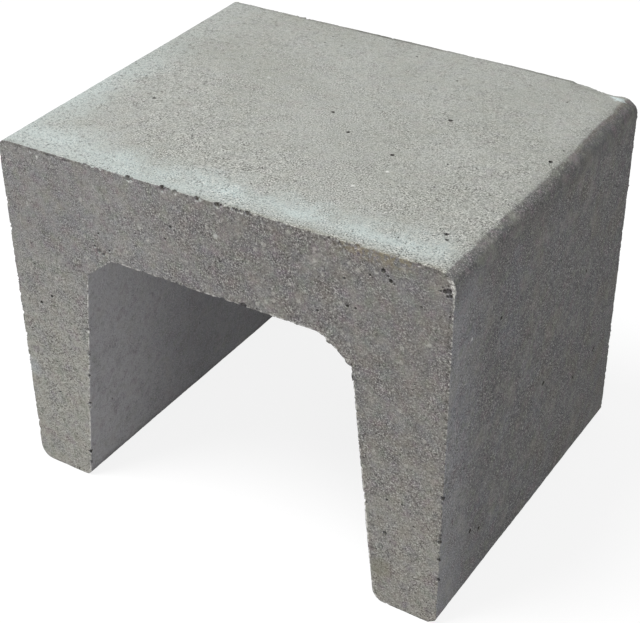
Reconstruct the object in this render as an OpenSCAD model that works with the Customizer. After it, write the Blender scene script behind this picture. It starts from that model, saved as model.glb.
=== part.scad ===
// Concrete U-block: one dry-cast piece, an upturned channel of constant
// section. A thick web lies on two legs that thin towards the feet, with a
// sloping haunch in each inner corner.
//
// Frame: +X runs across the legs, +Y along the channel, +Z up. The origin is
// at the middle of the footprint, on the ground the feet stand on.

/* [Block] */
// Width across both legs, outside to outside
block_w = 250; // [200:5:500]
// Length along the channel
block_d = 200; // [100:5:600]
// Height from the feet to the top face
block_h = 200; // [160:5:400]

/* [Web and legs] */
// Thickness of the web, from the top face to the roof of the opening
web_t = 50; // [35:1:70]
// Thickness of a leg where its inner face would meet the web
leg_root_t = 50; // [42:1:65]
// Thickness of a leg at its foot, before the foot is rounded
leg_toe_t = 35; // [25:1:41]

/* [Inner corners] */
// Width of a haunch, measured along the roof of the opening
haunch_w = 17; // [10:1:24]
// Height of a haunch, measured down from the roof of the opening
haunch_h = 15; // [10:1:24]
// Radius that eases a haunch into the roof of the opening
haunch_roof_r = 9; // [2:0.5:12]
// Radius that eases a haunch into the leg
haunch_leg_r = 6; // [2:0.5:12]

/* [Rounded edges] */
// Radius of the two long edges between the top face and the sides
top_edge_r = 6; // [1:0.5:12]
// Radius of the outer edge of each foot
foot_outer_r = 5; // [1:0.5:10]
// Radius of the inner edge of each foot
foot_inner_r = 4; // [1:0.5:9]

/* [Hidden] */
$fn = 96;

// How far a cutting shape runs past the face it cuts
lap = 1;

// Height of the opening, and its half widths at the ground and at the roof
roof_z = block_h - web_t;
toe_x = block_w / 2 - leg_toe_t;
root_x = block_w / 2 - leg_root_t;

// Half width of the opening at height z, along the sloping leg
function leg_x(z) = toe_x + (root_x - toe_x) * z / roof_z;

// Corner points of the right half of the section, in X and Z
top_outer = [block_w / 2, block_h];
foot_outer = [block_w / 2, 0];
foot_inner = [toe_x, 0];
haunch_leg = [leg_x(roof_z - haunch_h), roof_z - haunch_h];
haunch_roof = [root_x - haunch_w, roof_z];

// Where the leg's inner side would come out below the ground
below_toe = [leg_x(-lap), -lap];

function unit(v) = v / norm(v);
function flipped(p) = [-p.x, p.y];

// The sliver between a corner at p, whose sides run towards a and b, and the
// arc of radius r that touches both sides. It laps over the corner itself, so
// that taking it away from a shape leaves that corner rounded.
module corner_sliver(p, a, b, r) {
    u = unit(a - p);
    v = unit(b - p);
    half = acos(u * v) / 2;
    mid = unit(u + v);
    centre = p + mid * r / sin(half);
    touch = r / tan(half);
    difference() {
        polygon([p - mid * lap, p + u * touch, centre, p + v * touch]);
        translate(centre) circle(r = r);
    }
}

// Draws its children, given for the right half, on both sides of the middle
module both_sides() {
    children();
    mirror([1, 0]) children();
}

// The opening's outline, which runs out below the feet, with the two ends of
// each haunch eased
module opening() {
    difference() {
        polygon([
            below_toe, haunch_leg, haunch_roof,
            flipped(haunch_roof), flipped(haunch_leg), flipped(below_toe)
        ]);
        both_sides() {
            corner_sliver(haunch_leg, foot_inner, haunch_roof, haunch_leg_r);
            corner_sliver(haunch_roof, haunch_leg, [0, roof_z], haunch_roof_r);
        }
    }
}

// The whole section, drawn with Z along the second axis
module section() {
    difference() {
        translate([-block_w / 2, 0]) square([block_w, block_h]);
        opening();
        both_sides() {
            corner_sliver(top_outer, [0, block_h], foot_outer, top_edge_r);
            corner_sliver(foot_outer, foot_inner, top_outer, foot_outer_r);
            corner_sliver(foot_inner, foot_outer, haunch_leg, foot_inner_r);
        }
    }
}

module u_block() {
    color([0.49, 0.48, 0.46])
        translate([0, block_d / 2, 0])
            rotate([90, 0, 0])
                linear_extrude(height = block_d) section();
}

u_block();
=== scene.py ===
# %% [markdown]
# # A concrete U-block
# The object is one dry-cast concrete block: a thick web on two legs that thin
# towards the feet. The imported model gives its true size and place. This lesson
# gives it the skin of a real casting: crumbled arrises, chips, pits, a burr
# and sandy concrete that has bloomed pale along two edges of its top.

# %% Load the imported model
import math
import bpy
import numpy as np
from mathutils import Matrix, Vector
from mathutils.geometry import delaunay_2d_cdt


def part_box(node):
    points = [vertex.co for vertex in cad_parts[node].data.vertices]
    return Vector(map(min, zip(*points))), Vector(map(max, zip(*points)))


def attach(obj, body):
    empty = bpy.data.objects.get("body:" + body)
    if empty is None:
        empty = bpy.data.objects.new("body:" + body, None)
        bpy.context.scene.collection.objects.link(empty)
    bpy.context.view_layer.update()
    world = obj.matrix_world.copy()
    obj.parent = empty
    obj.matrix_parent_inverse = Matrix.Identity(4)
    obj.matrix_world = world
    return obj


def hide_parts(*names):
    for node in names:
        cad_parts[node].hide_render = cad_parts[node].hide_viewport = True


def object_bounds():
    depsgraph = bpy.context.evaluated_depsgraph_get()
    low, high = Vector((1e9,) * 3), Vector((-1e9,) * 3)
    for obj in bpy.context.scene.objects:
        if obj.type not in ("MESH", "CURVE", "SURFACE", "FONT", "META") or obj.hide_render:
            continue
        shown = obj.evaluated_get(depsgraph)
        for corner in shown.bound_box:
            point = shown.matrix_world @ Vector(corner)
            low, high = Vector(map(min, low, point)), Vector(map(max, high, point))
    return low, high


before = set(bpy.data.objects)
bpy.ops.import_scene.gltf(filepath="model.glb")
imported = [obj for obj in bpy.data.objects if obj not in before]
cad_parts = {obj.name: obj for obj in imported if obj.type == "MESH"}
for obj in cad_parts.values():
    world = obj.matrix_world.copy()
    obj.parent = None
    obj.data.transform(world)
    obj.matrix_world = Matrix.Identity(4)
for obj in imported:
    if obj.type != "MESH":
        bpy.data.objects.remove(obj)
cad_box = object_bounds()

MM = 0.001
low, high = (np.array(corner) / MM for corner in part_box("u_block"))
print("block, mm:", low.round(1), high.round(1))

# %% [markdown]
# ## The camera
# The photograph looks down on the block from its right front, quite close, so
# the near leg is clearly larger than the far one. The place and lens below
# were found by fitting a camera to the block's straight edges. The picture was
# cropped a little off its optical axis, which the small shift repeats.

# %% Camera
IMAGE = (640, 623)
TURN, TILT, ROLL = math.radians(34.170), math.radians(33.659), math.radians(1.546)
DISTANCE, RIGHT, DOWN = 779.2, -26.38, 17.07
FOCAL_PX, AXIS_PX = 1468.9, (274.7, 317.0)


def camera_matrix():
    ahead = Vector((-math.sin(TURN) * math.cos(TILT), math.cos(TURN) * math.cos(TILT), -math.sin(TILT)))
    right = Vector((math.cos(TURN), math.sin(TURN), 0))
    down = ahead.cross(right)
    right, down = (
        math.cos(ROLL) * right + math.sin(ROLL) * down,
        math.cos(ROLL) * down - math.sin(ROLL) * right,
    )
    place = Vector((0, 0, 100)) - DISTANCE * ahead + RIGHT * right + DOWN * down
    turned = Matrix((right, -down, -ahead)).transposed()
    return Matrix.Translation(place * MM) @ turned.to_4x4()


lens = bpy.data.cameras.new("camera")
camera = bpy.data.objects.new("camera", lens)
bpy.context.scene.collection.objects.link(camera)
camera.matrix_world = camera_matrix()
lens.lens = FOCAL_PX / IMAGE[0] * lens.sensor_width
lens.shift_x = (IMAGE[0] / 2 - AXIS_PX[0]) / IMAGE[0]
lens.shift_y = (AXIS_PX[1] - IMAGE[1] / 2) / IMAGE[0]
lens.clip_start, lens.clip_end = 0.01, 50
bpy.context.scene.camera = camera
print("lens, mm:", round(lens.lens, 1), "shift:", round(lens.shift_x, 3), round(lens.shift_y, 3))

# %% [markdown]
# ## The section as a path
# A casting like this is one section pulled along Y. Its outline is a ring of
# straight sides and arcs. Walking along it by length lets points be laid as
# densely as each place needs, which a plain extrusion can't do.

# %% Section outline
WEB, LEG_ROOT, LEG_TOE = 51.2, 50.3, 35.0
HAUNCH_W, HAUNCH_H = 15, 13
roof = high[2] - WEB


def leg_x(z):
    return high[0] - LEG_TOE - (LEG_ROOT - LEG_TOE) * z / roof


# corners of the right half, from the top down, with the radius of each; the
# casting is rounder than the drawing along its top on the right and inside its
# right foot, and its haunches are 2 mm smaller
RIGHT_HALF = [
    ((high[0], high[2]), 8),
    ((high[0], 0), 5),
    ((high[0] - LEG_TOE, 0), 7),
    ((leg_x(roof - HAUNCH_H), roof - HAUNCH_H), 6),
    ((high[0] - LEG_ROOT - HAUNCH_W, roof), 9),
]
# the left half mirrors it, from the opening's roof up, with radii of its own
LEFT_RADII = (4, 6, 4, 7.5, 5)
LEFT_HALF = [((-x, z), r) for ((x, z), _), r in zip(reversed(RIGHT_HALF), LEFT_RADII)]
CORNERS = RIGHT_HALF + LEFT_HALF


def outline_parts():
    """The outline as straight and curved parts, clockwise from the top's middle."""
    start = np.array([0.0, high[2]])
    points = [np.array(p, float) for p, r in CORNERS]
    here, parts = start, []
    for i, (corner, (_, radius)) in enumerate(zip(points, CORNERS)):
        before = points[i - 1] if i else start
        after = points[i + 1] if i + 1 < len(points) else start
        u, v = before - corner, after - corner
        u, v = u / np.linalg.norm(u), v / np.linalg.norm(v)
        half = math.acos(u @ v) / 2
        reach = radius / math.tan(half)
        middle = (u + v) / np.linalg.norm(u + v)
        centre = corner + middle * radius / math.sin(half)
        first, last = corner + u * reach, corner + v * reach
        parts.append(("side", here, first, None, None))
        parts.append(("arc", first, last, centre, radius))
        here = last
    parts.append(("side", here, start, None, None))
    return parts


PARTS = outline_parts()


def part_length(part):
    kind, a, b, centre, radius = part
    if kind == "side":
        return float(np.linalg.norm(b - a))
    return radius * math.acos(np.clip((a - centre) @ (b - centre) / radius**2, -1, 1))


LENGTHS = np.array([part_length(p) for p in PARTS])
STARTS = np.concatenate([[0], np.cumsum(LENGTHS)])
AROUND = STARTS[-1]
print("outline, mm:", round(AROUND, 1), "in", len(PARTS), "parts")


def on_outline(s):
    """Place (x, z) and outward normal at the lengths s along the outline."""
    s = np.asarray(s) % AROUND
    which = np.clip(np.searchsorted(STARTS, s, side="right") - 1, 0, len(PARTS) - 1)
    place, normal = np.zeros((len(s), 2)), np.zeros((len(s), 2))
    for i, (kind, a, b, centre, radius) in enumerate(PARTS):
        hit = which == i
        t = ((s[hit] - STARTS[i]) / LENGTHS[i])[:, None]
        if kind == "side":
            along = (b - a) / LENGTHS[i]
            place[hit] = a + (b - a) * t
            normal[hit] = [-along[1], along[0]]
        else:
            sweep = LENGTHS[i] / radius
            u, v = (a - centre) / radius, (b - centre) / radius
            spoke = (u * np.sin((1 - t) * sweep) + v * np.sin(t * sweep)) / math.sin(sweep)
            place[hit] = centre + radius * spoke
            turn = u[0] * v[1] - u[1] * v[0]
            normal[hit] = spoke if turn < 0 else -spoke
    return place, normal


# %% [markdown]
# ## Where the points go
# The arrises of the two end faces are crumbled at the scale of a sand grain,
# so they need a point every 0.6 mm. The middle of a face is flat to a tenth of
# that, and a point every few millimetres is enough. Points are laid in rows
# that open out with distance from the arris, then joined by a triangulation.

# %% Spacing rule and rows
FINE, WIDE, GROWTH = 0.64, 2.9, 0.23
FINE_BAND = 1.5  # mm from the arris in which the points stay fine
ROW = 0.866  # height of a row of even triangles, by their side
ARC_DENSITY = 1.7
CLOSE_ROWS = 11.0  # mm from the arris in which rows follow it round an end
rng = np.random.default_rng(7)


def spacing(distance):
    return np.clip(FINE + GROWTH * (np.asarray(distance) - FINE_BAND), FINE, WIDE)


def row_distances(deepest):
    rows, d = [0.0], 0.0
    while d < deepest:
        d += ROW * float(spacing(d))
        rows.append(d)
    return np.array(rows)


# arcs get closer points than straight sides, so they stay round
knots = np.linspace(0, AROUND, 6001)
kinds = np.array([p[0] == "arc" for p in PARTS])
which = np.clip(np.searchsorted(STARTS, knots, side="right") - 1, 0, len(PARTS) - 1)
density = np.where(kinds[which], ARC_DENSITY, 1.0)
kernel = np.hanning(41)
density = np.convolve(np.concatenate([density[-20:], density, density[:20]]), kernel / kernel.sum(), "valid")
warp = np.concatenate([[0], np.cumsum((density[1:] + density[:-1]) / 2)])
warp *= AROUND / warp[-1]


def row_of_points(step, stagger, shake=0.12):
    """Lengths along the outline, a step apart; wide rows are denser on arcs."""
    dense = step > 1.2
    count = int(round(AROUND * (density.mean() if dense else 1) / step))
    even = (np.arange(count) + stagger + shake * rng.uniform(-1, 1, count)) * AROUND / count
    even = np.sort(even % AROUND)
    return np.interp(even, warp, knots) if dense else even


# %% [markdown]
# ## Pits and breaks
# Dry-cast concrete is packed earth-moist, so small voids stay open in its
# skin, and its arrises lose whole grains when the mould comes off. Those that
# are plain to see in the photograph are listed by face, in millimetres, as a
# centre and a radius: each is a ball that takes a bite out of the block.

# %% Pits that show
Y0, Y1 = low[1], high[1]
# on the top: x, y, radius
TOP_PITS = [
    (-84.9, -26.2, 1.1), (56.8, 26.4, 1.2), (50.2, -19.9, 1.3), (20.2, -10.0, 1.1), (2.3, 5.5, 1.2),
    (116.5, 12.0, 1.1), (106.3, -72.3, 1.1), (108.5, -76.4, 1.0), (2.2, 9.6, 0.6), (66, 62, 0.7),
    (-36, 78, 0.7), (-98, 22, 0.6), (-12, -52, 0.6), (82, -38, 0.7), (34, 54, 0.6),
]
# on the near end: x, z, radius
NEAR_PITS = [
    # by the left haunch and down the left leg
    (-67.2, 152.6, 1.4), (-69.6, 154.8, 0.9), (-64.4, 151.4, 1.0), (-60.5, 154.7, 0.8),
    (-66.5, 162.7, 0.8), (-70.4, 157.8, 0.7), (-110.2, 108.0, 1.2), (-102.4, 114.4, 0.9),
    # on the web
    (-22.0, 179.6, 1.0), (-25.6, 172.0, 0.9), (-48.6, 176.4, 0.7),
    # beside the burr
    (122.2, 191.0, 1.5), (120.3, 190.4, 1.1), (123.0, 188.6, 1.1), (119.0, 191.8, 0.7),
    (121.4, 188.2, 0.9), (118.2, 189.8, 0.7), (121.6, 193.2, 0.7),
    # on the right, from the top down
    (84.6, 187.0, 0.8), (71.8, 181.4, 0.9), (96.0, 66.4, 1.0), (95.4, 45.6, 1.2),
    (91.1, 191.3, 1.2), (93.2, 189.0, 0.9), (94.8, 187.2, 1.2), (96.3, 186.0, 0.8),
    (73.6, 167.8, 0.9), (77.7, 167.6, 0.8),
    # and a few single ones
    (108, 138, 0.7), (102, 96, 0.7), (-105, 52, 0.7), (30, 168, 0.7), (58, 160, 0.8),
]
# on the right side: y, z, radius
RIGHT_PITS = [
    (-97.8, 191.0, 0.9), (-97.4, 186.8, 0.9), (-98.0, 195.0, 0.8),
    (7.8, 78.2, 1.5), (75.5, 59.2, 1.7), (49.0, 56.8, 1.3), (-68.2, 36.7, 1.3), (-58.6, 31.2, 1.2),
    (16.3, 146.3, 1.2), (51.6, 121.8, 1.1), (-50.8, 151.1, 1.1), (-17.0, 136, 0.8), (0.4, 48.4, 0.9),
    (30, 96, 0.7), (-36, 92, 0.7), (66, 150, 0.8), (-80, 84, 0.8),
]
# on the inner face of the left leg: y, z, radius
INNER_PITS = [(-12.0, 104.0, 0.7), (22.0, 112.0, 0.6), (-60.0, 70.0, 0.7), (-40.0, 120.0, 0.6)]
print("pits:", len(TOP_PITS) + len(NEAR_PITS) + len(RIGHT_PITS) + len(INNER_PITS))


# %% Points round a pit
ROSETTE = 1.45  # its size, in radii of the pit


def pit_points(u, v, radius):
    """A rosette of points that lets a small ball leave a round hollow."""
    rings = [(0.0, 1), (0.42, 5), (0.78, 8), (1.02, 10), (ROSETTE, 10)]
    out = []
    for share, count in rings:
        turn = rng.uniform(0, 2 * math.pi)
        for k in range(count):
            a = turn + 2 * math.pi * k / count
            out.append((u + radius * share * math.cos(a), v + radius * share * math.sin(a)))
    return out


def make_room(points, pits):
    """Drops the points round each pit and puts its rosette there."""
    points, extra = np.asarray(points), []
    for u, v, radius in pits:
        gap = np.hypot(points[:, 0] - u, points[:, 1] - v)
        points = points[gap > radius * ROSETTE + 0.35]
        extra += pit_points(u, v, radius)
    return np.vstack([points, extra]) if extra else points


# %% [markdown]
# ## The walls
# Everything that runs along Y is one strip: the outline unrolled flat, with Y
# across it. The strip is triangulated flat and then wrapped round the section.

# %% Walls, unrolled
depth = Y1 - Y0
rows = row_distances(depth / 2 - 1.5)
rows = np.concatenate([rows[:-1], [depth / 2]])
arris = row_of_points(FINE, 0.0, 0.0)
arris[0] = 0.0
seam = np.unique(np.concatenate([Y0 + rows, Y1 - rows]))

strip = []
for k, d in enumerate(rows[1:], 1):
    for y in np.unique([Y0 + d, Y1 - d]):
        s = row_of_points(float(spacing(d)), 0.5 * (k % 2) + 0.25 * (y > 0))
        s = s[(s > spacing(d) * 0.5) & (s < AROUND - spacing(d) * 0.5)]
        shake = 0.12 * float(spacing(d)) * rng.uniform(-1, 1, len(s)) * (d > 1)
        strip += list(zip(s, y + shake))


def length_at(x, z):
    """The length along the outline nearest to a point of the section."""
    fine = np.linspace(0, AROUND, 20001)
    place, _ = on_outline(fine)
    return float(fine[np.argmin(np.hypot(place[:, 0] - x, place[:, 1] - z))])


# the strip's seam runs along the top's middle: a pit that would reach over it
# is left out of the strip
wall_pits = [(x % AROUND, y, r) for x, y, r in TOP_PITS]
wall_pits += [(length_at(high[0], z), y, r) for y, z, r in RIGHT_PITS]
wall_pits += [(length_at(-leg_x(z), z), y, r) for y, z, r in INNER_PITS]
wall_pits = [(s, y, r) for s, y, r in wall_pits if ROSETTE * r + 0.3 < s < AROUND - ROSETTE * r - 0.3]
strip = make_room(strip, wall_pits)

n, m = len(arris), len(seam)
border = [(s, Y0) for s in arris] + [(AROUND, y) for y in seam]
border += [(s, Y1) for s in arris[::-1]] + [(0.0, y) for y in seam[::-1][1:-1]]


def triangulate(border, inner):
    """Triangles over a flat outline and the points in it, in the given order."""
    flat = np.vstack([border, inner])
    ring = list(range(len(border)))
    _, _, tris, origin, *_ = delaunay_2d_cdt([Vector(p) for p in flat], [], [ring], 1, 1e-7)
    first = np.array([ids[0] for ids in origin])
    return flat, first[np.array([tuple(t) for t in tris])]


wall_sy, wall_tris = triangulate(border, strip)

# close the strip: its last column is its first one
home = np.arange(len(wall_sy))
first_column = [0] + [2 * n + m + (m - 2 - i) for i in range(1, m - 1)] + [2 * n + m - 1]
home[n:n + m] = first_column
wall_tris = home[wall_tris]
near_arris, far_arris = np.arange(n), 2 * n + m - 1 - np.arange(n)
print("walls:", len(wall_sy), "points,", len(wall_tris), "triangles")

# %% [markdown]
# ## The two end faces
# Rows of points follow the arris inwards, and an even sheet of points fills
# what is left in the middle. Points that a tight corner brings too close to
# another side are dropped.

# %% End faces
edge_place, edge_normal = on_outline(arris)


def edge_distance(points):
    out = np.empty(len(points))
    for i in range(0, len(points), 2000):
        block = points[i:i + 2000]
        gap = block[:, None, :] - edge_place[None]
        out[i:i + 2000] = np.sqrt((gap**2).sum(2).min(1))
    return out


def inside_section(points):
    x, z = np.abs(points[:, 0]), points[:, 1]
    (low_x, low_z), (top_x, top_z) = RIGHT_HALF[3][0], RIGHT_HALF[4][0]
    haunch = top_z - (top_z - low_z) * (x - top_x) / (low_x - top_x)
    ceiling = np.minimum(roof, haunch)
    hollow = (x < leg_x(z)) & (z < ceiling)
    return (x < high[0]) & (z > 0) & (z < high[2]) & ~hollow


def face_points(pits):
    sheets = []
    for k, d in enumerate(row_distances(CLOSE_ROWS)[1:], 1):
        s = row_of_points(float(spacing(d)), 0.5 * (k % 2))
        place, normal = on_outline(s)
        sheet = place - normal * d
        gap = edge_distance(sheet)
        sheets.append(sheet[(gap > 0.93 * d) & inside_section(sheet)])
        last = d
    step = WIDE * 0.98
    xs = np.arange(low[0], high[0], step)
    zs = np.arange(0, high[2], step * ROW)
    grid = np.array([(x + step * 0.5 * (j % 2), z) for j, z in enumerate(zs) for x in xs])
    grid += rng.uniform(-0.15, 0.15, grid.shape) * step
    sheets.append(grid[(edge_distance(grid) > last + step * 0.6) & inside_section(grid)])
    return make_room(np.vstack(sheets), pits)


def end_face(pits):
    return triangulate(edge_place, face_points(pits))


near_xz, near_tris = end_face(NEAR_PITS)
far_xz, far_tris = end_face([])
print("near end:", len(near_xz), "far end:", len(far_xz), "points")

# %% [markdown]
# ## Not quite square
# A block that is pressed and then stripped while still damp sags and leans a
# little: its eight corners lie up to 2.3 mm inside the drawing. Moving the
# corners and letting everything between them follow keeps each face
# almost flat. The far right corner of the top has also been knocked off:
# a few planes cut it back, each point beyond a plane being laid on it. One
# more plane blunts the near right foot.

# %% Lean and worn corner
# inward shift in x, y and z of each corner: left or right, near or far, foot or top
LEAN = np.array([
    [[(0.3, 1.1, 0.1), (0.3, 0.3, 2.3)], [(0.6, 0.4, 0.1), (0.3, 0.5, 0.2)]],
    [[(1.3, 1.0, 0.1), (0.3, 0.95, 0.3)], [(0.3, 0.35, 0.1), (0.7, 0.7, 0.75)]],
])
# planes: the way they face, and a point of each
CUTS = [
    ((1, 1, 1), (121.3, 98.4, 196.6)), ((1, 0.5, 0.3), (124.7, 99.3, 190)), ((0.5, 1, 0.4), (121.6, 99.7, 192.2)),
    ((0.7, -0.55, -1), (122.9, -98.3, 2.2)),
]


def smooth_step(value, start, end):
    t = np.clip((value - start) / (end - start), 0, 1)
    return t * t * (3 - 2 * t)


def cast(p):
    """Moves nominal points, in mm, to where the real casting has them."""
    p = np.array(p, float)
    share = np.stack([(p[:, 0] - low[0]) / (high[0] - low[0]), (p[:, 1] - Y0) / (Y1 - Y0), p[:, 2] / high[2]], 1)
    share = np.clip(share, 0, 1)
    moved = p.copy()
    for i in (0, 1):
        for j in (0, 1):
            for k in (0, 1):
                weight = np.prod([share[:, a] if on else 1 - share[:, a] for a, on in enumerate((i, j, k))], axis=0)
                moved += weight[:, None] * LEAN[i, j, k] * [-1 if i else 1, -1 if j else 1, -1 if k else 1]
    # the top's back edge steps down near its right end, then falls to the corner
    fall = 0.4 * smooth_step(p[:, 0], 50, 88) + 1.0 * smooth_step(p[:, 0], 88.5, 92)
    fall += 1.7 * smooth_step(p[:, 0], 94, 109) - 0.9 * smooth_step(p[:, 0], 112, 118)
    moved[:, 2] -= fall * smooth_step(p[:, 1], 91, 99) * np.clip((p[:, 2] - 190) / 10, 0, 1)
    # its right edge is worn to a low bevel
    wide, tall = 12.0 + 1.0 * smooth_step(p[:, 1], -60, 60), 6.5 + 2.5 * smooth_step(p[:, 1], -70, 40)
    tall = tall - 2.0 * smooth_step(p[:, 1], 84, 99)
    u, v = (p[:, 0] - high[0] + wide) / wide, (p[:, 2] - high[2] + tall) / tall
    length = np.hypot(u, v)
    over = np.where((u > 0) & (v > 0) & (length > 1), 1 / np.maximum(length, 1e-6) - 1, 0)
    moved[:, 0] += over * u * wide
    moved[:, 2] += over * v * tall
    for way, point in CUTS:
        way = np.array(way) / np.linalg.norm(way)
        beyond = np.maximum((moved - point) @ way, 0)
        moved -= beyond[:, None] * way
    return moved


# %% [markdown]
# ## One closed skin
# Walls and ends share the points of the two arrises, so the three sheets
# close into one solid skin. Each point keeps the way that is outwards there,
# which on an arris is the sum of both faces' directions, and how far it is
# from an arris, which the material needs later.

# %% Join walls and ends
place, normal = on_outline(wall_sy[:, 0])
points = np.column_stack([place[:, 0], wall_sy[:, 1], place[:, 1]])
outward = np.column_stack([normal[:, 0], np.zeros(len(normal)), normal[:, 1]])
faces = [wall_tris]

for xz, tris, y, facing, ring in (
    (near_xz, near_tris, Y0, -1, near_arris), (far_xz, far_tris, Y1, 1, far_arris),
):
    outward[ring] += [0, facing, 0]
    inner = len(xz) - n
    index = np.concatenate([ring, len(points) + np.arange(inner)])
    points = np.vstack([points, np.column_stack([xz[n:, 0], np.full(inner, y), xz[n:, 1]])])
    outward = np.vstack([outward, np.tile([0.0, facing, 0.0], (inner, 1))])
    faces.append(index[tris])
faces = np.vstack(faces)

# leave out points that nothing uses
used = np.unique(faces)
again = np.full(len(points), -1)
again[used] = np.arange(len(used))
points, outward, faces = points[used], outward[used], again[faces]

# every triangle turned so that it faces outwards
a, b, c = (points[faces[:, i]] for i in range(3))
wrong = (np.cross(b - a, c - a) * outward[faces].sum(1)).sum(1) < 0
faces[wrong] = faces[wrong][:, ::-1]
print("skin:", len(points), "points,", len(faces), "triangles,", int(wrong.sum()), "turned")

# %% The burr
# damp mortar squeezed past the mould's joint left a low ridge on the near
# right arris, strongest just under the top, then a broken line down to the foot
nominal = points
points = cast(nominal)
on_end = np.abs(outward[:, 1]) > 0.5
from_ends = np.minimum(nominal[:, 1] - Y0, Y1 - nominal[:, 1])
from_arris = np.where(on_end, edge_distance(nominal[:, [0, 2]]), from_ends)
height = nominal[:, 2]
on_front = (outward[:, 1] < -0.5) & (nominal[:, 0] > 114) & (height > 12)
tall = smooth_step(height, 188, 191) * smooth_step(height, 198.5, 196)
thin = 0.85 * smooth_step(height, 180, 184) * smooth_step(height, 192, 189)
ripple = np.clip(0.5 + np.sin(height * 2.3) * np.sin(height * 0.81 + 1) + 0.4 * np.sin(height * 5.1), 0, 1)
line = 0.8 * ripple * (height < 186) * (0.4 + 0.6 * smooth_step(height, 60, 150))
torn = np.clip(0.75 + 0.6 * np.sin(height * 4.1 + 1) * np.sin(height * 1.7), 0, 1)
BURR_MM = 0.6


def profile(width):
    """A low ridge of that width in mm, highest just off the arris."""
    return np.exp(-((from_arris - 0.25 * width) / width) ** 2)


burr = on_front * np.maximum.reduce([profile(1.7) * tall * torn, profile(0.7) * thin, profile(0.65) * line])
points[:, 1] -= BURR_MM * burr
# its pale colour, paler mortar with a painted highlight, also runs onto the first millimetre of the side
on_flank = (outward[:, 0] > 0.5) & (nominal[:, 1] < Y0 + 4) & (nominal[:, 0] > high[0] - 0.1)
burr = np.maximum(burr, on_flank * profile(0.9) * tall * torn)

# %% Mesh of the sound block
block_mesh = bpy.data.meshes.new("sound_block")
block_mesh.from_pydata((points * MM).tolist(), [], faces.tolist())
block_mesh.update()
on_arris = np.linalg.norm(outward, axis=1) > 1.2
edges = np.empty(len(block_mesh.edges) * 2, int)
block_mesh.edges.foreach_get("vertices", edges)
edges = edges.reshape(-1, 2)
both = on_arris[edges].all(1) & (np.abs(nominal[edges[:, 0], 1] - nominal[edges[:, 1], 1]) < 1)
both &= np.linalg.norm(nominal[edges[:, 0]] - nominal[edges[:, 1]], axis=1) < 1.5 * FINE
marks = block_mesh.attributes.new("arris", "BOOLEAN", "EDGE")
marks.data.foreach_set("value", both)
ways = block_mesh.attributes.new("outward", "FLOAT_VECTOR", "POINT")
ways.data.foreach_set("vector", outward.astype(np.float32).ravel())
near_edge = block_mesh.attributes.new("from_arris_mm", "FLOAT", "POINT")
near_edge.data.foreach_set("value", from_arris.astype(np.float32))
squeezed = block_mesh.attributes.new("burr", "FLOAT", "POINT")
squeezed.data.foreach_set("value", burr.astype(np.float32))
# the back of the top and the feet's near edges crumble only half as much, and
# the outer arris of the left foot three quarters
weakness = 1 - 0.5 * smooth_step(height, 185, 195) * (nominal[:, 1] > 0)
weakness -= 0.5 * (height < 6) * (nominal[:, 1] < 0)
weakness -= 0.25 * (nominal[:, 0] < -110) * smooth_step(height, 60, 30)
weak = block_mesh.attributes.new("weakness", "FLOAT", "POINT")
weak.data.foreach_set("value", weakness.astype(np.float32))
# in a closed skin every edge is shared by two triangles
sides = np.sort(np.vstack([faces[:, [0, 1]], faces[:, [1, 2]], faces[:, [2, 0]]]), 1)
shared_by = np.unique(sides, axis=0, return_counts=True)[1]
print("arris edges:", int(both.sum()), "open edges:", int((shared_by != 2).sum()))
block = bpy.data.objects.new("concrete_block", block_mesh)
bpy.context.scene.collection.objects.link(block)

# %% [markdown]
# ## Helpers for node trees
# One function adds a node, sets it up and links it. A link may be given as a
# socket, or as a node, whose first output is then taken. Two more use it for
# what every tree needs: sums, and noise.


# %% Node helper
def add(tree, kind, links=None, values=None, **settings):
    node = tree.nodes.new(kind)
    for key, value in settings.items():
        setattr(node, key, value)
    for key, value in (values or {}).items():
        node.inputs[key].default_value = value
    for key, source in (links or {}).items():
        socket = source if hasattr(source, "is_output") else source.outputs[0]
        tree.links.new(socket, node.inputs[key])
    return node


def tone(text):
    """An sRGB hex colour as linear values, opaque."""
    parts = [int(text[i:i + 2], 16) / 255 for i in (1, 3, 5)]
    return tuple(v / 12.92 if v <= 0.04045 else ((v + 0.055) / 1.055) ** 2.4 for v in parts) + (1.0,)


def maths(tree, what, first, second=0.0):
    """A sum of two sides, each of them a number, a socket or a node."""
    links, values = {}, {}
    for key, side in ((0, first), (1, second)):
        (values if isinstance(side, (int, float)) else links)[key] = side
    return add(tree, "ShaderNodeMath", links, values, operation=what).outputs[0]


def waves(tree, here, length, detail):
    """Noise that swings between about -0.5 and 0.5, over that length."""
    scale = maths(tree, "DIVIDE", 1.0, length)
    noise = add(tree, "ShaderNodeTexNoise", {"Vector": here, "Scale": scale}, {"Detail": detail})
    return maths(tree, "SUBTRACT", noise, 0.5)


# %% [markdown]
# ## Breaks that show
# The photograph shows a row of dark chips along the top's near arris, a notch
# where the right haunch meets the leg, and other single bites. They and the
# pits are listed here as balls: x, y, z and radius.

# %% Placed breaks
# chips along the near top arris: x, radius
TOP_CHIPS = [
    (-44.8, 1.9), (-43.0, 1.5), (-25.2, 1.9), (-23.4, 1.3), (-21.3, 1.2), (-17.9, 1.5), (-11.0, 0.9),
    (-5.6, 1.7), (-3.9, 1.3), (5.6, 1.9), (7.3, 1.3), (12.2, 1.3), (14.4, 1.2), (16.4, 1.4), (18.6, 1.2),
    (21.8, 1.6), (-116, 0.9), (-70, 1.1), (-58, 0.9), (23.8, 1.1), (29, 1.0), (39, 1.2), (51, 0.9),
    (64, 1.1), (78.3, 1.4), (86, 1.0), (97, 1.0), (108, 1.2),
]
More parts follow.
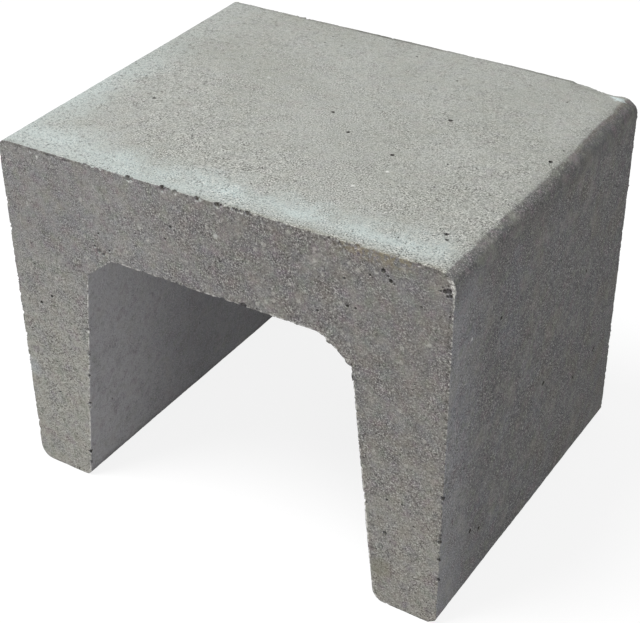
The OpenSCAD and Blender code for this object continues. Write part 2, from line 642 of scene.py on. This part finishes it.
# crumbs just under its left end: x, z, radius
TOP_CRUMBS = [
    (-106.5, 198.6, 0.9), (-104.6, 198.2, 1.1), (-95.6, 198.4, 0.9), (-93.4, 198.0, 1.2),
    (-91.0, 198.6, 1.0), (-85.0, 198.6, 0.9), (-82.8, 198.0, 1.2), (-80.6, 198.5, 0.9),
]
# the notch and bites in the opening's near arris on the right haunch: x, z, radius
HAUNCH_BITES = [(76.4, 131.0, 2.6), (74.0, 137.3, 1.9), (63.8, 145.6, 1.8), (60.2, 148.6, 1.2)]
# bites in the inner arrises of both legs: x, z, radius
LEG_BITES = [
    (79.6, 112, 1.0), (81.6, 92, 1.1), (84.6, 60, 1.2), (86.6, 42, 1.1),
    (-84.5, 51.8, 1.5), (-84.8, 48.8, 1.2), (-82.6, 70.5, 1.4),
]
# a bite out of the left foot's inner edge: x, y, z, radius
FOOT_BITE = (-89.0, 27.6, 0.8, 1.8)

# each centre stands off its face by a share of the radius: the more outside
# the block, the shallower the bite
top, near, right = high[2], Y0, high[0]
BREAKS = [(x, y, top + 0.15 * r, r) for x, y, r in TOP_PITS]
BREAKS += [(x, near - 0.15 * r, z, r) for x, z, r in NEAR_PITS]
BREAKS += [(right + 0.15 * r, y, z, r) for y, z, r in RIGHT_PITS]
BREAKS += [(-leg_x(z) + 0.15 * r, y, z, r) for y, z, r in INNER_PITS]
BREAKS += [(x, near - 0.2 * r, top - 0.5 * r, r) for x, r in TOP_CHIPS]
BREAKS += [(x, near - 0.1 * r, z, r) for x, z, r in TOP_CRUMBS]
BREAKS += [(x, near + 0.45 * r, z, r) for x, z, r in HAUNCH_BITES]
BREAKS += [(x, near - 0.15 * r, z, r) for x, z, r in LEG_BITES]
BREAKS.append(FOOT_BITE)

centres = cast([b[:3] for b in BREAKS])
break_mesh = bpy.data.meshes.new("breaks")
break_mesh.from_pydata((centres * MM).tolist(), [], [])
sizes = break_mesh.attributes.new("size", "FLOAT", "POINT")
sizes.data.foreach_set("value", np.array([b[3] * MM for b in BREAKS], np.float32))
breaks = bpy.data.objects.new("breaks", break_mesh)
bpy.context.scene.collection.objects.link(breaks)
print("placed breaks:", len(BREAKS))

# %% [markdown]
# ## Crumbling, as a node tree
# An arris crumbles all along its length in the same way, so it is a rule and
# not a drawing: walk along the arris, set down a ball of random size just
# outside it every couple of millimetres, and press the skin in wherever it
# lies inside a ball. Geometry Nodes do this with named sizes and a seed. The
# same press is used for the breaks listed above.


# %% A ball presses the skin in
def press_group():
    tree = bpy.data.node_groups.new("press_in", "GeometryNodeTree")
    face = tree.interface
    for name, kind in (("Geometry", "Geometry"), ("Balls", "Geometry"), ("Roughness", "Float"), ("Grain", "Float")):
        face.new_socket(name, in_out="INPUT", socket_type="NodeSocket" + kind)
    face.new_socket("Geometry", in_out="OUTPUT", socket_type="NodeSocketGeometry")
    given = add(tree, "NodeGroupInput")
    here = add(tree, "GeometryNodeInputPosition")
    nearest = add(tree, "GeometryNodeSampleNearest", {"Geometry": given.outputs["Balls"]}, domain="POINT")
    size = add(tree, "GeometryNodeInputNamedAttribute", values={"Name": "size"}, data_type="FLOAT")
    centre = add(tree, "GeometryNodeSampleIndex",
                 {"Geometry": given.outputs["Balls"], "Value": here, "Index": nearest}, data_type="FLOAT_VECTOR")
    radius = add(tree, "GeometryNodeSampleIndex",
                 {"Geometry": given.outputs["Balls"], "Value": size, "Index": nearest}, data_type="FLOAT")
    # the ball's surface is rough, by a share of its radius
    swing = waves(tree, here, given.outputs["Grain"], 1.0)
    swing = add(tree, "ShaderNodeMath", {0: swing, 1: given.outputs["Roughness"]}, {2: 1.0}, operation="MULTIPLY_ADD")
    reach = maths(tree, "MULTIPLY", radius, swing)
    spoke = add(tree, "ShaderNodeVectorMath", {0: here, 1: centre}, operation="SUBTRACT")
    length = add(tree, "ShaderNodeVectorMath", {0: spoke}, operation="LENGTH")
    unit = add(tree, "ShaderNodeVectorMath", {0: spoke}, operation="NORMALIZE")
    inside = maths(tree, "LESS_THAN", length.outputs["Value"], reach)
    rim = add(tree, "ShaderNodeVectorMath", {0: unit, "Scale": reach}, operation="SCALE")
    place = add(tree, "ShaderNodeVectorMath", {0: centre, 1: rim}, operation="ADD")
    moved = add(tree, "GeometryNodeSetPosition",
                {"Geometry": given.outputs["Geometry"], "Selection": inside, "Position": place})
    add(tree, "NodeGroupOutput", {"Geometry": moved})
    return tree


press_in = press_group()


# %% The crumbling tree
def crumble_tree():
    tree = bpy.data.node_groups.new("crumble", "GeometryNodeTree")
    face = tree.interface
    face.new_socket("Geometry", in_out="INPUT", socket_type="NodeSocketGeometry")
    for name in (
        "Skin depth", "Wave height", "Wave length", "Sand height", "Sand length", "Chip spacing",
        "Smallest chip", "Largest chip", "Stretch length", "Chip reach", "Chip roughness", "Grain",
    ):
        face.new_socket(name, in_out="INPUT", socket_type="NodeSocketFloat")
    face.new_socket("Seed", in_out="INPUT", socket_type="NodeSocketInt")
    face.new_socket("Breaks", in_out="INPUT", socket_type="NodeSocketObject")
    face.new_socket("Material", in_out="INPUT", socket_type="NodeSocketMaterial")
    face.new_socket("Geometry", in_out="OUTPUT", socket_type="NodeSocketGeometry")
    given = add(tree, "NodeGroupInput")
    size_of = given.outputs
    outward = add(tree, "GeometryNodeInputNamedAttribute", values={"Name": "outward"}, data_type="FLOAT_VECTOR")
    here = add(tree, "GeometryNodeInputPosition")

    # the whole skin is a little wavy and sandy
    wave = maths(tree, "MULTIPLY", waves(tree, here, size_of["Wave length"], 2.0), size_of["Wave height"])
    sand = maths(tree, "MULTIPLY", waves(tree, here, size_of["Sand length"], 2.0), size_of["Sand height"])
    lift = maths(tree, "SUBTRACT", maths(tree, "ADD", wave, sand), size_of["Skin depth"])
    shift = add(tree, "ShaderNodeVectorMath", {0: outward, "Scale": lift}, operation="SCALE")
    skin = add(tree, "GeometryNodeSetPosition", {"Geometry": size_of["Geometry"], "Offset": shift})
    start = add(tree, "GeometryNodeStoreNamedAttribute", {"Geometry": skin, "Value": here}, {"Name": "before"},
                data_type="FLOAT_VECTOR", domain="POINT")

    # balls along the arris: many small, few large
    marked = add(tree, "GeometryNodeInputNamedAttribute", values={"Name": "arris"}, data_type="BOOLEAN")
    line = add(tree, "GeometryNodeMeshToCurve", {"Mesh": start, "Selection": marked})
    spots = add(tree, "GeometryNodeResampleCurve", {"Curve": line, "Length": size_of["Chip spacing"]}, mode="LENGTH")
    dots = add(tree, "GeometryNodeCurveToPoints", {"Curve": spots}, mode="EVALUATED")
    chance = add(tree, "FunctionNodeRandomValue", {"Seed": size_of["Seed"]}, data_type="FLOAT")
    skew = maths(tree, "POWER", chance.outputs[1], 3.2)
    radius = add(tree, "ShaderNodeMapRange",
                 {"Value": skew, "To Min": size_of["Smallest chip"], "To Max": size_of["Largest chip"]})
    # some stretches of an arris crumble more than others
    per_stretch = maths(tree, "DIVIDE", 1.0, size_of["Stretch length"])
    stretch = add(tree, "ShaderNodeTexNoise", {"Vector": here, "Scale": per_stretch}, {"Detail": 1.0})
    stretch = add(tree, "ShaderNodeMapRange", {"Value": stretch.outputs[0]},
                  {"From Min": 0.38, "From Max": 0.62, "To Min": 0.6, "To Max": 1.2})
    weakness = add(tree, "GeometryNodeInputNamedAttribute", values={"Name": "weakness"}, data_type="FLOAT")
    radius = maths(tree, "MULTIPLY", maths(tree, "MULTIPLY", radius, stretch), weakness)
    sized = add(tree, "GeometryNodeStoreNamedAttribute", {"Geometry": dots, "Value": radius}, {"Name": "size"},
                data_type="FLOAT", domain="POINT")
    # each ball's centre stands outside the arris by a share of its radius
    later = maths(tree, "ADD", size_of["Seed"], 11.0)
    stand = add(tree, "FunctionNodeRandomValue", {"Seed": later}, {2: 0.45, 3: 0.72}, data_type="FLOAT")
    own_size = add(tree, "GeometryNodeInputNamedAttribute", values={"Name": "size"}, data_type="FLOAT")
    off = maths(tree, "MULTIPLY", maths(tree, "MULTIPLY", own_size, stand.outputs[1]), size_of["Chip reach"])
    aside = add(tree, "ShaderNodeVectorMath", {0: outward, "Scale": off}, operation="SCALE")
    latest = maths(tree, "ADD", size_of["Seed"], 23.0)
    sway = tuple(v * MM for v in (0.7, 0.4, 0.7))
    jitter = add(tree, "FunctionNodeRandomValue", {"Seed": latest},
                 {0: tuple(-v for v in sway), 1: sway}, data_type="FLOAT_VECTOR")
    aside = add(tree, "ShaderNodeVectorMath", {0: aside, 1: jitter.outputs[0]}, operation="ADD")
    balls = add(tree, "GeometryNodeSetPosition", {"Geometry": sized, "Offset": aside})

    # the skin is pressed in twice: by these balls, then by the placed ones
    texture = {"Roughness": size_of["Chip roughness"], "Grain": size_of["Grain"]}
    worn = add(tree, "GeometryNodeGroup", {"Geometry": start, "Balls": balls, **texture}, node_tree=press_in)
    placed = add(tree, "GeometryNodeObjectInfo", {"Object": size_of["Breaks"]})
    broken = add(tree, "GeometryNodeGroup", {"Geometry": worn, "Balls": placed.outputs["Geometry"], **texture},
                 node_tree=press_in)

    # how far each point has been pressed in, in mm, for the material
    before = add(tree, "GeometryNodeInputNamedAttribute", values={"Name": "before"}, data_type="FLOAT_VECTOR")
    gone = add(tree, "ShaderNodeVectorMath", {0: here, 1: before}, operation="DISTANCE")
    gone = maths(tree, "MULTIPLY", gone.outputs["Value"], 1 / MM)
    kept = add(tree, "GeometryNodeStoreNamedAttribute", {"Geometry": broken.outputs[0], "Value": gone},
               {"Name": "broken_mm"}, data_type="FLOAT", domain="POINT")
    whole = add(tree, "GeometryNodeRealizeInstances", {"Geometry": kept})
    dressed = add(tree, "GeometryNodeSetMaterial", {"Geometry": whole, "Material": size_of["Material"]})
    add(tree, "NodeGroupOutput", {"Geometry": dressed})
    return tree


crumble = crumble_tree()


# %% [markdown]
# ## Dry-cast concrete
# Sand, small stones and grey cement pressed nearly dry into a steel mould. The
# eye reads it by its sandy speckle, about a grain to the millimetre and a
# half, by slow patches of warmer and cooler grey, and by the pale bloom of
# lime that rain and damp leave along the edges of the top. It has no gloss.

# %% Concrete material
concrete = bpy.data.materials.new("dry_cast_concrete")
concrete.use_nodes = True


MOUTH_HALF, MOUTH_TOP = 97.0, 153.0  # the opening with a few mm round it


def build_concrete(tree):
    tree.nodes.clear()
    coords = add(tree, "ShaderNodeTexCoord")
    mm = add(tree, "ShaderNodeVectorMath", {0: coords.outputs["Object"]}, {"Scale": 1000.0}, operation="SCALE")
    xyz = add(tree, "ShaderNodeSeparateXYZ", {0: mm})
    x, y, z = (xyz.outputs[i] for i in range(3))
    facing = add(tree, "ShaderNodeSeparateXYZ", {0: coords.outputs["Normal"]})
    # a second pattern is read at another place of the same noise
    shifted = add(tree, "ShaderNodeVectorMath", {0: mm}, {1: (310.0, 170.0, 90.0)}, operation="ADD")
    # the mould drags the walls upwards: a pattern drawn out four times in z
    drawn = add(tree, "ShaderNodeVectorMath", {0: mm}, {1: (1.0, 1.0, 0.25)}, operation="MULTIPLY")

    def noise(size, detail=2.0, rough=0.5, vector=mm):
        """A noise pattern with grains of that size in mm."""
        return add(tree, "ShaderNodeTexNoise", {"Vector": vector},
                   {"Scale": 1.0 / size, "Detail": detail, "Roughness": rough}).outputs[0]

    def ramp(value, low, high, to_low=0.0, to_high=1.0, kind="SMOOTHSTEP"):
        return add(tree, "ShaderNodeMapRange", {"Value": value},
                   {"From Min": low, "From Max": high, "To Min": to_low, "To Max": to_high},
                   interpolation_type=kind).outputs[0]

    def times(first, *others):
        for other in others:
            first = maths(tree, "MULTIPLY", first, other)
        return first

    def plus(a, b):
        return maths(tree, "ADD", a, b)

    def minus(a, b):
        return maths(tree, "SUBTRACT", a, b)

    def larger(a, b):
        return maths(tree, "MAXIMUM", a, b)

    def mix(a, b, amount):
        node = add(tree, "ShaderNodeMix", data_type="RGBA", blend_type="MIX")
        for key, value in ((0, amount), (6, a), (7, b)):
            if isinstance(value, tuple):
                node.inputs[key].default_value = value
            else:
                tree.links.new(value, node.inputs[key])
        return node.outputs[2]

    def over(under, colour, *shares):
        """A colour laid over what is there, as strongly as the product of the shares."""
        return mix(under, tone(colour), times(*shares))

    wobble = add(tree, "ShaderNodeTexNoise", {"Vector": mm}, {"Scale": 0.8, "Detail": 1.0})
    uneven = add(tree, "ShaderNodeVectorMath", {0: mm, 1: wobble.outputs["Color"]}, operation="ADD")

    def speck(apart, outer, inner, rare):
        """Round specks in a few cells of a pattern, so far apart in mm."""
        cells = add(tree, "ShaderNodeTexVoronoi", {"Vector": uneven}, {"Scale": 1 / apart})
        pick = add(tree, "ShaderNodeSeparateColor", {0: cells.outputs["Color"]})
        return times(ramp(cells.outputs["Distance"], outer, inner), ramp(pick.outputs[0], rare, rare + 0.04))

    def nearby(*place):
        """Distance in mm from a place on the block."""
        return add(tree, "ShaderNodeVectorMath", {0: mm}, {1: place}, operation="DISTANCE").outputs["Value"]

    # which face: 1 on the two ends, on the walls of the opening, on the top, on the rest
    ragged, sand = noise(16, 4.0, 0.65), noise(0.76, 2.0, 0.75)
    end_on = ramp(maths(tree, "ABSOLUTE", facing.outputs["Y"]), 0.55, 0.95)
    across = maths(tree, "ABSOLUTE", x)
    in_channel = times(
        ramp(across, MOUTH_HALF, MOUTH_HALF - 3, kind="LINEAR"),
        ramp(z, MOUTH_TOP, MOUTH_TOP - 2, kind="LINEAR"), minus(1.0, end_on),
    )
    # the worn right edge has lost the top's pale skin
    rim = plus(plus(x, ramp(y, 40.0, 88.0, 0.6, 1.4)), times(minus(ragged, 0.5), 5.0))
    worn = times(ramp(rim, 119.2, 120.8), ramp(z, 180.0, 188.0))
    on_top = times(ramp(facing.outputs["Z"], 0.4, 0.85), minus(1.0, worn))
    on_side = minus(minus(1.0, on_top), end_on)

    # slow drifts of tone, face by face, with painted light and shade among them
    slow, patch = noise(55, 2.0), noise(24, 2.0, 0.5, shifted)
    # the right side's grey is darker than the other faces': partly its own tone, partly painted shade
    side = mix(tone("#69696b"), tone("#707071"), ramp(slow, 0.35, 0.65))
    # painted light: the side grows lighter towards its near end, as if lit from the front
    side = over(side, "#939498", ramp(y, -54.0, -98.0), 0.85)
    side = over(side, "#6e6b66", ramp(patch, 0.5, 0.64), ramp(y, -45.0, 10.0, 0.15, 0.7))
    side = over(side, "#77797f", ramp(patch, 0.5, 0.36), ramp(y, 40.0, -40.0, 0.1, 0.55))
    # the worn edge is browner than the side, its own colour, and darker towards the top, painted shade where the
    # bevel turns away from the lamp
    side = over(side, "#5a5a59", worn, ramp(z, 188.0, 197.0, 0.3, 0.9))
    side = over(side, "#69645c", worn, ramp(rim, 123.0, 120.6, 0.0, 0.6), ramp(y, -20.0, 50.0, 0.2, 1.0))
    # painted light: the opening's walls are much lighter than the right side, which faces the same way, most of all
    # near the front; painted shade towards the far end; and darker at their foot
    channel = mix(tone("#acabae"), tone("#868689"), ramp(y, -85.0, 14.0))
    channel = over(channel, "#5f5e60", ramp(plus(z, times(slow, 8.0)), 11.0, 5.0), 0.5)
    channel = over(channel, "#5f5e60", ramp(y, 90.0, 97.0), 0.35)
    # the ends grow lighter low down and to the left: their own tone, and low down also painted light bounced up from
    # the ground
    end = mix(tone("#9f9e97"), tone("#888786"), ramp(plus(z, times(slow, 90.0)), 122.0, 202.0))
    right_end = mix(tone("#85827c"), tone("#706d6a"), ramp(z, 30.0, 120.0))
    end = mix(end, right_end, times(ramp(x, -60.0, 35.0), 0.75))
    top = mix(tone("#90928c"), tone("#969893"), ramp(slow, 0.35, 0.65))
    body = mix(mix(mix(side, channel, in_channel), end, end_on), top, on_top)

    # blotches the size of a thumbnail, plainer on the top: dark and pale,
    # purplish and greenish, warm and cool
    plain = minus(minus(1.0, times(on_top, 0.7)), times(in_channel, 0.35))
    cloud, tint = noise(12, 3.0, 0.6), noise(7, 3.0, 0.65, shifted)
    warmth, ends = noise(8.5, 3.0, 0.6, shifted), ramp(end_on, 0.0, 1.0, 0.4, 1.0)
    for pattern, none, full, colour, share, where in (
        (cloud, 0.5, 0.72, "#6a6566", 0.4, plain), (cloud, 0.5, 0.3, "#a19f97", 0.34, plain),
        (tint, 0.52, 0.68, "#80747a", 0.5, plain), (tint, 0.48, 0.32, "#7d8277", 0.5, plain),
        (warmth, 0.5, 0.66, "#8f8270", 0.14, ends), (warmth, 0.5, 0.34, "#737888", 0.14, ends),
    ):
        body = over(body, colour, ramp(pattern, none, full), share, where)

    # lime bloom on the top, along its near and left arrises
    eaten = plus(times(ragged, 34.0), times(sand, 12.0))
    wider = plus(times(ramp(x, -30.0, -105.0), -16.0), times(ramp(x, 48.0, 74.0), -7.0))
    wider = minus(wider, times(ramp(x, -70.0, -20.0), ramp(x, 60.0, 45.0), 5.0))
    near_bloom = ramp(plus(plus(y, eaten), wider), -50.0, -84.0)
    near_bloom = times(near_bloom, ramp(x, -38.0, -80.0, 1.08, 0.68), ramp(x, 50.0, 80.0, 1.0, 0.86))
    left_bloom = times(ramp(plus(x, eaten), -68.0, -104.0), ramp(y, 72.0, -30.0, 0.16, 0.63))
    # it is rubbed off the last few millimetres before the arris
    rubbed = larger(ramp(y, -99.0, -87.0), ramp(x, -60.0, 60.0, 0.75, 0.3))
    near_bloom = times(near_bloom, rubbed, ramp(x, 120.0, 108.0, 0.3, 1.0))
    bloom = times(larger(near_bloom, left_bloom), on_top)
    body = over(body, "#b5c2c2", bloom, 0.75)
    # where sandy mortar shows instead
    bare = times(ramp(y, -95.0, -99.5), ramp(x, -40.0, 70.0, 0.2, 0.8), on_top)
    body = over(body, "#7c786b", bare, ramp(ragged, 0.3, 0.6, 0.6, 1.0))

    # a dab of chalk sits by the broken corner
    crumbly = times(minus(noise(2.6, 2.0, 0.6), 0.5), 9.0)
    body = over(body, "#cbd8d8", ramp(plus(nearby(115.2, 92.2, 197.0), crumbly), 4.8, 2.2), 0.8)

    # sand: dark and pale grains. How strongly they show: less at the back of
    # the top, in the dark clouds, by the burr and on the worn edge, and more
    # where the near part of the top is gritty and low down the near right
    coarse, streaks = noise(2.2, 2.0, 0.6), noise(1.7, 2.0, 0.55, drawn)
    grainy = minus(1.0, times(ramp(y, 0.0, 85.0), on_top, 0.5))
    grainy = plus(grainy, times(ramp(y, -28.0, -60.0), ramp(x, -90.0, -30.0), on_top, 0.35))
    grainy = times(grainy, ramp(cloud, 0.36, 0.64, 0.72, 1.3))
    grainy = times(grainy, minus(1.0, times(ramp(x, 70.0, 110.0), ramp(z, 130.0, 160.0), end_on, 0.25)))
    grainy = times(grainy, minus(1.0, times(worn, ramp(y, -20.0, 60.0, 0.2, 0.6))))
    grainy = times(grainy, plus(1.0, times(ramp(across, 124.0, 124.4), ramp(y, -50.0, -80.0, 0.2, 0.0))))
    lumpy = ramp(x, -30.0, -80.0, 1.0, 1.6)
    dark = minus(0.8, times(in_channel, 0.42))
    pale = minus(0.5, times(in_channel, 0.24))
    body = over(body, "#3d3a38", ramp(sand, 0.48, 0.31), dark, grainy, minus(1.0, times(bloom, 0.3)))
    body = over(body, "#d6d5cf", ramp(sand, 0.52, 0.7), pale, grainy)
    body = over(body, "#55514f", ramp(coarse, 0.46, 0.27), dark, lumpy, 0.4)
    body = over(body, "#bdbbb5", ramp(coarse, 0.54, 0.75), pale, lumpy, 0.22)
    drag = minus(on_side, times(in_channel, 0.6))
    body = over(body, "#5b595d", ramp(streaks, 0.48, 0.3), drag, 0.13)
    body = over(body, "#939296", ramp(streaks, 0.52, 0.7), drag, 0.12)

    # single pale and dark stones in the ends, and small open pores, whose dark dots are painted shade
    body = over(body, "#c4c2ba", speck(4.4, 0.36, 0.16, 0.88), end_on, 0.36)
    body = over(body, "#5b5855", speck(5.2, 0.3, 0.16, 0.88), end_on, 0.4)
    pore = speck(6.5, 0.11, 0.05, 0.84)
    body = over(body, "#2a2726", pore, 0.75)

    # arrises: a painted highlight in pale dashes along the opening's near arris, and dark bands under the top's near
    # arris and behind its far one
    edge, broken, burr = (
        add(tree, "ShaderNodeAttribute", attribute_name=name).outputs["Fac"]
        for name in ("from_arris_mm", "broken_mm", "burr")
    )
    front = times(end_on, ramp(y, -96.0, -98.0))
    at_mouth = maths(tree, "LESS_THAN", across, MOUTH_HALF + 1)
    at_mouth = times(at_mouth, ramp(z, MOUTH_TOP + 1, MOUTH_TOP - 0.5))
    glint_dashes = ramp(noise(2.4, 3.0, 0.7), 0.45, 0.6)
    # painted highlight where the opening's near arris catches the light
    body = over(body, "#dedcd7", ramp(edge, 1.1, 0.3), glint_dashes, at_mouth, front, 0.95)
    under_top = times(ramp(edge, 2.8, 0.7), ramp(z, 192.0, 195.0), front, ramp(x, -90.0, -50.0, 1.0, 0.5))
    crumbs = ramp(noise(1.5, 2.0, 0.7), 0.42, 0.58)
    body = over(body, "#4c4941", under_top, plus(times(crumbs, 0.55), 0.06))
    behind = times(ramp(edge, 2.8, 0.9), ramp(y, 95.0, 97.5), ramp(z, 190.0, 194.0))
    for start, stop, share, rest in ((-88.0, -72.0, 0.3, 1.0), (-30.0, -5.0, 1.0, 0.5), (90.0, 93.0, 1.0, 0.0)):
        behind = times(behind, ramp(x, start, stop, share, rest))
    body = over(body, "#474540", behind, ramp(noise(30, 2.0), 0.4, 0.58, 0.3, 0.9))
    # dark specks beside the burr, ochre mortar left of it, and its own pale ridge: paler mortar with a painted
    # highlight on it
    beside = times(ramp(edge, 3.2, 1.2), ramp(noise(1.2, 1.0), 0.5, 0.38), front, ramp(x, 113.0, 117.0))
    body = over(body, "#3a3734", beside, ramp(z, 40.0, 150.0, 0.0, 0.7))
    ochre = times(ramp(x, 62.0, 78.0), ramp(x, 112.0, 100.0), ramp(z, 190.0, 198.0), front)
    body = over(body, "#8d8263", ochre, ramp(noise(2.6, 2.0), 0.4, 0.6, 0.0, 0.5))
    body = over(body, "#d0cfc9", ramp(burr, 0.18, 0.7), ramp(noise(1.4, 2.0, 0.6), 0.42, 0.56, 0.1, 1.0))
    # single marks: pale grains, dragged pale stretches and a rusty stain, with
    # the distances in mm at which each is full and gone
    for place, full, gone, colour, share in (
        ((-100.4, -99.4, 193.8), 0.4, 1.0, "#dcdcd8", 0.8),
        ((3.7, -99.4, 181.4), 0.5, 1.8, "#c9cac6", 0.55),
        ((124.6, -79.8, 156.6), 0.6, 1.3, "#c9cacb", 0.8),
        ((-48.0, 23.3, 199.7), 0.6, 1.6, "#cfd0cc", 0.4),
        ((-40.3, -99.4, 173.2), 0.4, 2.4, "#bdbdb7", 0.45),
        ((-123.4, -99.2, 62.0), 1.0, 9.0, "#b9bfc1", 0.45),
        ((92.7, -99.4, 22.4), 3.0, 9.0, "#7a7560", 0.4),
        ((56.3, -35.5, 199.6), 0.4, 1.3, "#d8d9d5", 0.7),
        ((49.3, -54.8, 199.6), 0.4, 1.3, "#d8d9d5", 0.7),
    ):
        body = over(body, colour, ramp(nearby(*place), gone, full), share)

    # painted shade in the breaks: deep pits anywhere, and only the deepest part along an arris. This shade is paler
    # at the haunches, browner under the top
    haunches = times(at_mouth, ramp(z, 100.0, 120.0))
    hollow = times(minus(0.9, times(haunches, 0.5)), ramp(noise(1.3, 2.0, 0.6), 0.3, 0.5, 0.55, 1.0))
    along_top = times(ramp(z, 193.0, 197.0), ramp(edge, 5.0, 3.0))
    pit = times(ramp(edge, 2.5, 3.5), ramp(broken, 0.25, 0.75))
    deep = larger(pit, ramp(minus(broken, times(along_top, 0.25)), 0.45, 1.2))
    body = mix(body, mix(tone("#2b2926"), tone("#3d3931"), along_top), times(deep, hollow))

    # relief too small for the mesh, one millimetre high in all
    height = minus(plus(times(sand, 0.4), times(coarse, 0.3)), times(pore, 0.5))
    bump = add(tree, "ShaderNodeBump", {"Height": height}, {"Strength": 1.0, "Distance": 0.001})
    shader = add(tree, "ShaderNodeBsdfPrincipled", {"Base Color": body, "Normal": bump},
                 {"Roughness": 0.92, "Specular IOR Level": 0.2})
    add(tree, "ShaderNodeOutputMaterial", {"Surface": shader})


build_concrete(concrete.node_tree)

# %% Crumble the block
crumbling = block.modifiers.new("crumble", "NODES")
crumbling.node_group = crumble
SIZES = {
    "Skin depth": 0.0, "Wave height": 0.5 * MM, "Wave length": 70 * MM,
    "Sand height": 0.34 * MM, "Sand length": 6 * MM, "Chip spacing": 1.6 * MM,
    "Smallest chip": 0.65 * MM, "Largest chip": 1.85 * MM, "Stretch length": 13 * MM,
    "Chip reach": 0.62, "Chip roughness": 0.7, "Grain": 1.6 * MM,
    "Seed": 5, "Breaks": breaks, "Material": concrete,
}
for item in crumble.interface.items_tree:
    if item.in_out == "INPUT" and item.name in SIZES:
        crumbling[item.identifier] = SIZES[item.name]
depsgraph = bpy.context.evaluated_depsgraph_get()
skin = bpy.data.meshes.new_from_object(
    block.evaluated_get(depsgraph), preserve_all_data_layers=True, depsgraph=depsgraph
)
block.modifiers.remove(crumbling)
block.data = skin
skin.name = "concrete_block"
skin.attributes.remove(skin.attributes["before"])
bpy.data.objects.remove(breaks)
skin.shade_smooth()
# the feet stand on the ground, and no grain stands out of the drawing's box
place = np.empty(len(skin.vertices) * 3, np.float32)
skin.vertices.foreach_get("co", place)
place = np.clip(place.reshape(-1, 3), np.array(cad_box[0]), np.array(cad_box[1])).astype(np.float32)
skin.vertices.foreach_set("co", place.ravel())
gone = np.empty(len(skin.vertices), np.float32)
skin.attributes["broken_mm"].data.foreach_get("value", gone)
print("block:", len(skin.polygons), "triangles; deepest break, mm:", round(float(gone.max()), 2),
      "broken points:", int((gone > 0.05).sum()))

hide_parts("u_block")
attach(block, "root")

# %% [markdown]
# ## Ground and light
# The ground is plain and white to the eye and keeps the block's soft shadow.
# To the block it is a mid grey, so that it doesn't light the sides from below
# more than the photograph shows. One broad lamp stands high at the left front:
# the top is brightest, the near end half as bright, the right side in shade. A
# weak one, low at the right front, reaches into that shade and the opening.

# %% Ground
REACH = 6  # metres each way
UNDER = -0.1 * MM  # a hair below the feet, which would flicker in its plane
ground_mesh = bpy.data.meshes.new("ground")
ground_corners = [(-REACH, -REACH, UNDER), (REACH, -REACH, UNDER), (REACH, REACH, UNDER), (-REACH, REACH, UNDER)]
ground_mesh.from_pydata(ground_corners, [], [(0, 1, 2, 3)])
ground = bpy.data.objects.new("ground", ground_mesh)
bpy.context.scene.collection.objects.link(ground)
ground_paint = bpy.data.materials.new("ground_paint")
ground_paint.use_nodes = True
tree = ground_paint.node_tree
tree.nodes.clear()


def seen_directly(tree):
    """1 for camera, mirrored and glass rays, 0 for light on its way to the block."""
    ray = add(tree, "ShaderNodeLightPath").outputs
    part = maths(tree, "MAXIMUM", ray["Is Camera Ray"], ray["Is Glossy Ray"])
    return maths(tree, "MAXIMUM", part, ray["Is Transmission Ray"])


# seen, it glows white and takes a light shadow; felt, it is grey
white = add(tree, "ShaderNodeEmission", values={"Color": tone("#ffffff"), "Strength": 1.0})
lit = add(tree, "ShaderNodeBsdfDiffuse", values={"Color": tone("#ffffff")})
seen = add(tree, "ShaderNodeMixShader", {1: white, 2: lit}, {0: 0.15})
felt = add(tree, "ShaderNodeBsdfDiffuse", values={"Color": tone("#878787")})
choice = add(tree, "ShaderNodeMixShader", {0: seen_directly(tree), 1: felt, 2: seen})
add(tree, "ShaderNodeOutputMaterial", {"Surface": choice})
ground_mesh.materials.append(ground_paint)


# %% Lamps and sky
BLOCK_MIDDLE = Vector((0, 0, 0.1))


def lamp(name, place, size, power):
    """A round lamp that faces the block: metres and watts."""
    data = bpy.data.lights.new(name, "AREA")
    data.shape, data.size, data.energy = "DISK", size, power
    obj = bpy.data.objects.new(name, data)
    bpy.context.scene.collection.objects.link(obj)
    place = Vector(place)
    obj.location = place
    obj.rotation_euler = (BLOCK_MIDDLE - place).to_track_quat("-Z", "Y").to_euler()


lamp("high_left", (-1.0, -0.95, 2.7), 1.5, 100)
lamp("low_right", (1.5, -1.7, 0.45), 0.8, 17)
world = bpy.data.worlds.new("sky")
bpy.context.scene.world = world
world.use_nodes = True
sky = world.node_tree
sky.nodes.clear()
soft = add(sky, "ShaderNodeBackground", values={"Color": tone("#ffffff"), "Strength": 0.42})
blank = add(sky, "ShaderNodeBackground", values={"Color": tone("#ffffff"), "Strength": 1.0})
choice = add(sky, "ShaderNodeMixShader", {0: seen_directly(sky), 1: soft, 2: blank})
add(sky, "ShaderNodeOutputWorld", {"Surface": choice})
bpy.context.scene.view_settings.view_transform = "Standard"
